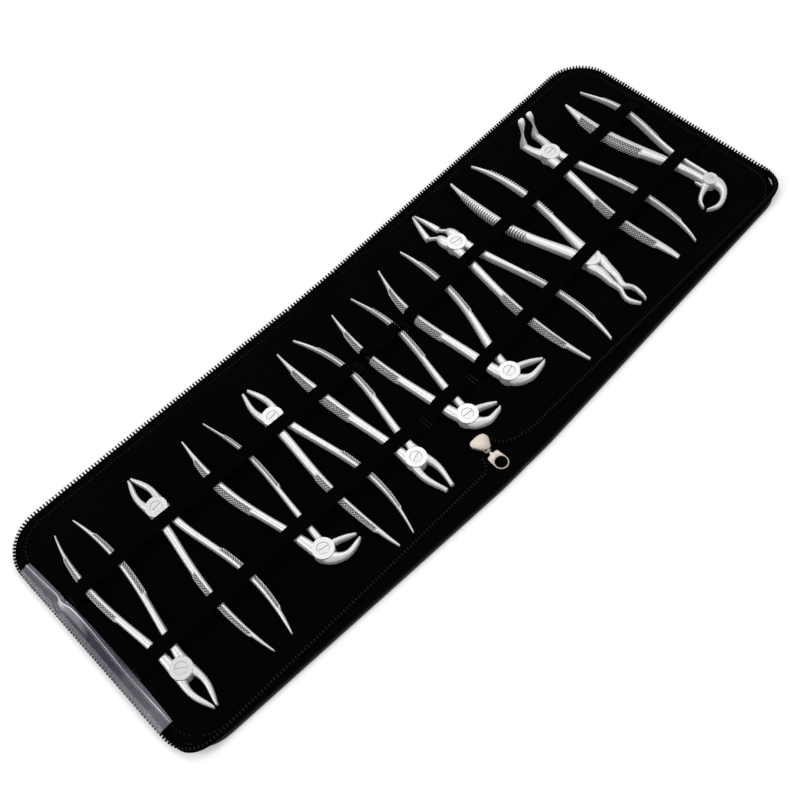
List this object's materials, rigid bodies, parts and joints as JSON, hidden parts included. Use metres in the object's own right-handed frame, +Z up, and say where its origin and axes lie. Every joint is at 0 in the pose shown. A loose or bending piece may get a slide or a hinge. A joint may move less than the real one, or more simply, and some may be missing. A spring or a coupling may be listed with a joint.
{
  "type": "extraction forceps set",
  "caption": "Dental extraction forceps of several beak patterns, each pivoting on a slotted screw, held by elastic straps in a zip-round case that lies open flat.",
  "frame": {"origin": "middle of the opened case's underside, where it rests", "axes": "+X along the case's length, +Y towards its far long side, +Z up out of the velvet"},
  "size_m": [0.6458, 0.2418, 0.0355],
  "materials": {
    "leatherette": "black grained leatherette",
    "board": "stiffening board, hidden",
    "velvet": "black velvet",
    "elastic": "black woven elastic",
    "zip_tape": "black woven tape",
    "zip_teeth": "black moulded teeth",
    "zip_metal": "pale nickel, polished",
    "clear_plastic": "clear film with a blue-grey sheen",
    "steel": "satin stainless steel",
    "screw_steel": "turned stainless steel"
  },
  "bodies": {
    "spine": {"cover_spine": "leatherette", "board_spine": "board", "lining_spine": "velvet", "zip_tape_spine": "zip_tape", "zip_chain_spine": "zip_teeth", "strap_far_spine": "elastic", "strap_near_spine": "elastic"},
    "panel_left": {"cover_left": "leatherette", "board_left": "board", "lining_left": "velvet", "zip_tape_left": "zip_tape", "zip_chain_left": "zip_teeth", "strap_far_left": "elastic", "strap_near_left": "elastic", "clear_strip": "clear_plastic"},
    "panel_right": {"cover_right": "leatherette", "board_right": "board", "lining_right": "velvet", "zip_tape_right": "zip_tape", "zip_chain_right": "zip_teeth", "strap_far_right": "elastic", "strap_near_right": "elastic"},
    "zip_slider": {"zip_slider": "zip_metal"},
    "zip_pull_tab": {"zip_pull_tab": "zip_metal"},
    "forceps_01_pivot": {"forceps_01_pivot_screw": "screw_steel"},
    "forceps_01_front": {"forceps_01_front_half": "steel"},
    "forceps_01_back": {"forceps_01_back_half": "steel"},
    "forceps_02_pivot": {"forceps_02_pivot_screw": "screw_steel"},
    "forceps_02_front": {"forceps_02_front_half": "steel"},
    "forceps_02_back": {"forceps_02_back_half": "steel"},
    "forceps_03_pivot": {"forceps_03_pivot_screw": "screw_steel"},
    "forceps_03_front": {"forceps_03_front_half": "steel"},
    "forceps_03_back": {"forceps_03_back_half": "steel"},
    "forceps_04_pivot": {"forceps_04_pivot_screw": "screw_steel"},
    "forceps_04_front": {"forceps_04_front_half": "steel"},
    "forceps_04_back": {"forceps_04_back_half": "steel"},
    "forceps_05_pivot": {"forceps_05_pivot_screw": "screw_steel"},
    "forceps_05_front": {"forceps_05_front_half": "steel"},
    "forceps_05_back": {"forceps_05_back_half": "steel"},
    "forceps_06_pivot": {"forceps_06_pivot_screw": "screw_steel"},
    "forceps_06_front": {"forceps_06_front_half": "steel"},
    "forceps_06_back": {"forceps_06_back_half": "steel"},
    "forceps_07_pivot": {"forceps_07_pivot_screw": "screw_steel"},
    "forceps_07_front": {"forceps_07_front_half": "steel"},
    "forceps_07_back": {"forceps_07_back_half": "steel"},
    "forceps_08_pivot": {"forceps_08_pivot_screw": "screw_steel"},
    "forceps_08_front": {"forceps_08_front_half": "steel"},
    "forceps_08_back": {"forceps_08_back_half": "steel"},
    "forceps_09_pivot": {"forceps_09_pivot_screw": "screw_steel"},
    "forceps_09_front": {"forceps_09_front_half": "steel"},
    "forceps_09_back": {"forceps_09_back_half": "steel"},
    "forceps_10_pivot": {"forceps_10_pivot_screw": "screw_steel"},
    "forceps_10_front": {"forceps_10_front_half": "steel"},
    "forceps_10_back": {"forceps_10_back_half": "steel"},
    "forceps_11_pivot": {"forceps_11_pivot_screw": "screw_steel"},
    "forceps_11_front": {"forceps_11_front_half": "steel"},
    "forceps_11_back": {"forceps_11_back_half": "steel"}
  },
  "joints": [
    {"name": "fold_left", "type": "hinge", "parent": "spine", "child": "panel_left", "pos_m": [-0.0381, 0.0041, 0.0077], "axis": [0, -1, 0], "range_deg": [-90, 0]},
    {"name": "fold_right", "type": "hinge", "parent": "spine", "child": "panel_right", "pos_m": [0.0121, 0.0041, 0.0077], "axis": [0, 1, 0], "range_deg": [-90, 0]},
    {"name": "zip_slider_travel", "type": "slide", "parent": "spine", "child": "zip_slider", "axis": [0, -1, 0], "range_m": [0, 0.004]},
    {"name": "zip_pull_tab_swing", "type": "hinge", "parent": "zip_slider", "child": "zip_pull_tab", "pos_m": [-0.0245, -0.0943, 0.0071], "axis": [-1, 0, 0], "range_deg": [0, 110]},
    {"name": "forceps_01_lift", "type": "slide", "parent": "panel_left", "child": "forceps_01_pivot", "axis": [0, 0, 1], "range_m": [0, 0.06], "deforming": ["strap_far_left", "strap_near_left"]},
    {"name": "forceps_01_front_hinge", "type": "hinge", "parent": "forceps_01_pivot", "child": "forceps_01_front", "pos_m": [-0.2841, -0.056, 0.01], "axis": [0, 0, 1], "range_deg": [0, 13]},
    {"name": "forceps_01_back_hinge", "type": "hinge", "parent": "forceps_01_pivot", "child": "forceps_01_back", "pos_m": [-0.2841, -0.056, 0.01], "axis": [0, 0, 1], "range_deg": [-13, 0]},
    {"name": "forceps_02_lift", "type": "slide", "parent": "panel_left", "child": "forceps_02_pivot", "axis": [0, 0, 1], "range_m": [0, 0.11]},
    {"name": "forceps_02_front_hinge", "type": "hinge", "parent": "forceps_02_pivot", "child": "forceps_02_front", "pos_m": [-0.2217, 0.0495, 0.01], "axis": [0, 0, 1], "range_deg": [0, 13]},
    {"name": "forceps_02_back_hinge", "type": "hinge", "parent": "forceps_02_pivot", "child": "forceps_02_back", "pos_m": [-0.2217, 0.0495, 0.01], "axis": [0, 0, 1], "range_deg": [-13, 0]},
    {"name": "forceps_03_lift", "type": "slide", "parent": "panel_left", "child": "forceps_03_pivot", "axis": [0, 0, 1], "range_m": [0, 0.06]},
    {"name": "forceps_03_front_hinge", "type": "hinge", "parent": "forceps_03_pivot", "child": "forceps_03_front", "pos_m": [-0.1602, -0.0635, 0.01], "axis": [0, 0, 1], "range_deg": [0, 13]},
    {"name": "forceps_03_back_hinge", "type": "hinge", "parent": "forceps_03_pivot", "child": "forceps_03_back", "pos_m": [-0.1602, -0.0635, 0.01], "axis": [0, 0, 1], "range_deg": [-13, 0]},
    {"name": "forceps_04_lift", "type": "slide", "parent": "panel_left", "child": "forceps_04_pivot", "axis": [0, 0, 1], "range_m": [0, 0.11]},
    {"name": "forceps_04_front_hinge", "type": "hinge", "parent": "forceps_04_pivot", "child": "forceps_04_front", "pos_m": [-0.1142, 0.042, 0.01], "axis": [0, 0, 1], "range_deg": [0, 13]},
    {"name": "forceps_04_back_hinge", "type": "hinge", "parent": "forceps_04_pivot", "child": "forceps_04_back", "pos_m": [-0.1142, 0.042, 0.01], "axis": [0, 0, 1], "range_deg": [-13, 0]},
    {"name": "forceps_05_lift", "type": "slide", "parent": "panel_left", "child": "forceps_05_pivot", "axis": [0, 0, 1], "range_m": [0, 0.06]},
    {"name": "forceps_05_front_hinge", "type": "hinge", "parent": "forceps_05_pivot", "child": "forceps_05_front", "pos_m": [-0.0657, -0.0615, 0.01], "axis": [0, 0, 1], "range_deg": [0, 13]},
    {"name": "forceps_05_back_hinge", "type": "hinge", "parent": "forceps_05_pivot", "child": "forceps_05_back", "pos_m": [-0.0657, -0.0615, 0.01], "axis": [0, 0, 1], "range_deg": [-13, 0]},
    {"name": "forceps_06_lift", "type": "slide", "parent": "spine", "child": "forceps_06_pivot", "axis": [0, 0, 1], "range_m": [0, 0.11], "deforming": ["strap_far_spine", "strap_near_spine"]},
    {"name": "forceps_06_front_hinge", "type": "hinge", "parent": "forceps_06_pivot", "child": "forceps_06_front", "pos_m": [-0.0147, -0.0645, 0.01], "axis": [0, 0, 1], "range_deg": [0, 13]},
    {"name": "forceps_06_back_hinge", "type": "hinge", "parent": "forceps_06_pivot", "child": "forceps_06_back", "pos_m": [-0.0147, -0.0645, 0.01], "axis": [0, 0, 1], "range_deg": [-13, 0]},
    {"name": "forceps_07_lift", "type": "slide", "parent": "panel_right", "child": "forceps_07_pivot", "axis": [0, 0, 1], "range_m": [0, 0.06], "deforming": ["strap_far_right", "strap_near_right"]},
    {"name": "forceps_07_front_hinge", "type": "hinge", "parent": "forceps_07_pivot", "child": "forceps_07_front", "pos_m": [0.0328, -0.0625, 0.01], "axis": [0, 0, 1], "range_deg": [0, 13]},
    {"name": "forceps_07_back_hinge", "type": "hinge", "parent": "forceps_07_pivot", "child": "forceps_07_back", "pos_m": [0.0328, -0.0625, 0.01], "axis": [0, 0, 1], "range_deg": [-13, 0]},
    {"name": "forceps_08_lift", "type": "slide", "parent": "panel_right", "child": "forceps_08_pivot", "axis": [0, 0, 1], "range_m": [0, 0.11]},
    {"name": "forceps_08_front_hinge", "type": "hinge", "parent": "forceps_08_pivot", "child": "forceps_08_front", "pos_m": [0.0943, 0.051, 0.01], "axis": [0, 0, 1], "range_deg": [0, 13]},
    {"name": "forceps_08_back_hinge", "type": "hinge", "parent": "forceps_08_pivot", "child": "forceps_08_back", "pos_m": [0.0943, 0.051, 0.01], "axis": [0, 0, 1], "range_deg": [-13, 0]},
    {"name": "forceps_09_lift", "type": "slide", "parent": "panel_right", "child": "forceps_09_pivot", "axis": [0, 0, 1], "range_m": [0, 0.06]},
    {"name": "forceps_09_front_hinge", "type": "hinge", "parent": "forceps_09_pivot", "child": "forceps_09_front", "pos_m": [0.1528, -0.0395, 0.01], "axis": [0, 0, 1], "range_deg": [0, 13]},
    {"name": "forceps_09_back_hinge", "type": "hinge", "parent": "forceps_09_pivot", "child": "forceps_09_back", "pos_m": [0.1528, -0.0395, 0.01], "axis": [0, 0, 1], "range_deg": [-13, 0]},
    {"name": "forceps_10_lift", "type": "slide", "parent": "panel_right", "child": "forceps_10_pivot", "axis": [0, 0, 1], "range_m": [0, 0.11]},
    {"name": "forceps_10_front_hinge", "type": "hinge", "parent": "forceps_10_pivot", "child": "forceps_10_front", "pos_m": [0.2143, 0.0565, 0.01], "axis": [0, 0, 1], "range_deg": [0, 13]},
    {"name": "forceps_10_back_hinge", "type": "hinge", "parent": "forceps_10_pivot", "child": "forceps_10_back", "pos_m": [0.2143, 0.0565, 0.01], "axis": [0, 0, 1], "range_deg": [-13, 0]},
    {"name": "forceps_11_lift", "type": "slide", "parent": "panel_right", "child": "forceps_11_pivot", "axis": [0, 0, 1], "range_m": [0, 0.06]},
    {"name": "forceps_11_front_hinge", "type": "hinge", "parent": "forceps_11_pivot", "child": "forceps_11_front", "pos_m": [0.2758, -0.061, 0.01], "axis": [0, 0, 1], "range_deg": [0, 5]},
    {"name": "forceps_11_back_hinge", "type": "hinge", "parent": "forceps_11_pivot", "child": "forceps_11_back", "pos_m": [0.2758, -0.061, 0.01], "axis": [0, 0, 1], "range_deg": [-5, 0]}
  ],
  "couplings": [
    {"joint": "forceps_01_back_hinge", "follows": "forceps_01_front_hinge", "ratio": -1},
    {"joint": "forceps_01_lift", "follows": "forceps_01_front_hinge", "m_per_rad": 0.2644},
    {"joint": "forceps_02_back_hinge", "follows": "forceps_02_front_hinge", "ratio": -1},
    {"joint": "forceps_02_lift", "follows": "forceps_02_front_hinge", "m_per_rad": 0.4848},
    {"joint": "forceps_03_back_hinge", "follows": "forceps_03_front_hinge", "ratio": -1},
    {"joint": "forceps_03_lift", "follows": "forceps_03_front_hinge", "m_per_rad": 0.2644},
    {"joint": "forceps_04_back_hinge", "follows": "forceps_04_front_hinge", "ratio": -1},
    {"joint": "forceps_04_lift", "follows": "forceps_04_front_hinge", "m_per_rad": 0.4848},
    {"joint": "forceps_05_back_hinge", "follows": "forceps_05_front_hinge", "ratio": -1},
    {"joint": "forceps_05_lift", "follows": "forceps_05_front_hinge", "m_per_rad": 0.2644},
    {"joint": "forceps_06_back_hinge", "follows": "forceps_06_front_hinge", "ratio": -1},
    {"joint": "forceps_06_lift", "follows": "forceps_06_front_hinge", "m_per_rad": 0.4848},
    {"joint": "forceps_07_back_hinge", "follows": "forceps_07_front_hinge", "ratio": -1},
    {"joint": "forceps_07_lift", "follows": "forceps_07_front_hinge", "m_per_rad": 0.2644},
    {"joint": "forceps_08_back_hinge", "follows": "forceps_08_front_hinge", "ratio": -1},
    {"joint": "forceps_08_lift", "follows": "forceps_08_front_hinge", "m_per_rad": 0.4848},
    {"joint": "forceps_09_back_hinge", "follows": "forceps_09_front_hinge", "ratio": -1},
    {"joint": "forceps_09_lift", "follows": "forceps_09_front_hinge", "m_per_rad": 0.2644},
    {"joint": "forceps_10_back_hinge", "follows": "forceps_10_front_hinge", "ratio": -1},
    {"joint": "forceps_10_lift", "follows": "forceps_10_front_hinge", "m_per_rad": 0.4848},
    {"joint": "forceps_11_back_hinge", "follows": "forceps_11_front_hinge", "ratio": -1},
    {"joint": "forceps_11_lift", "follows": "forceps_11_front_hinge", "m_per_rad": 0.6875}
  ]
}
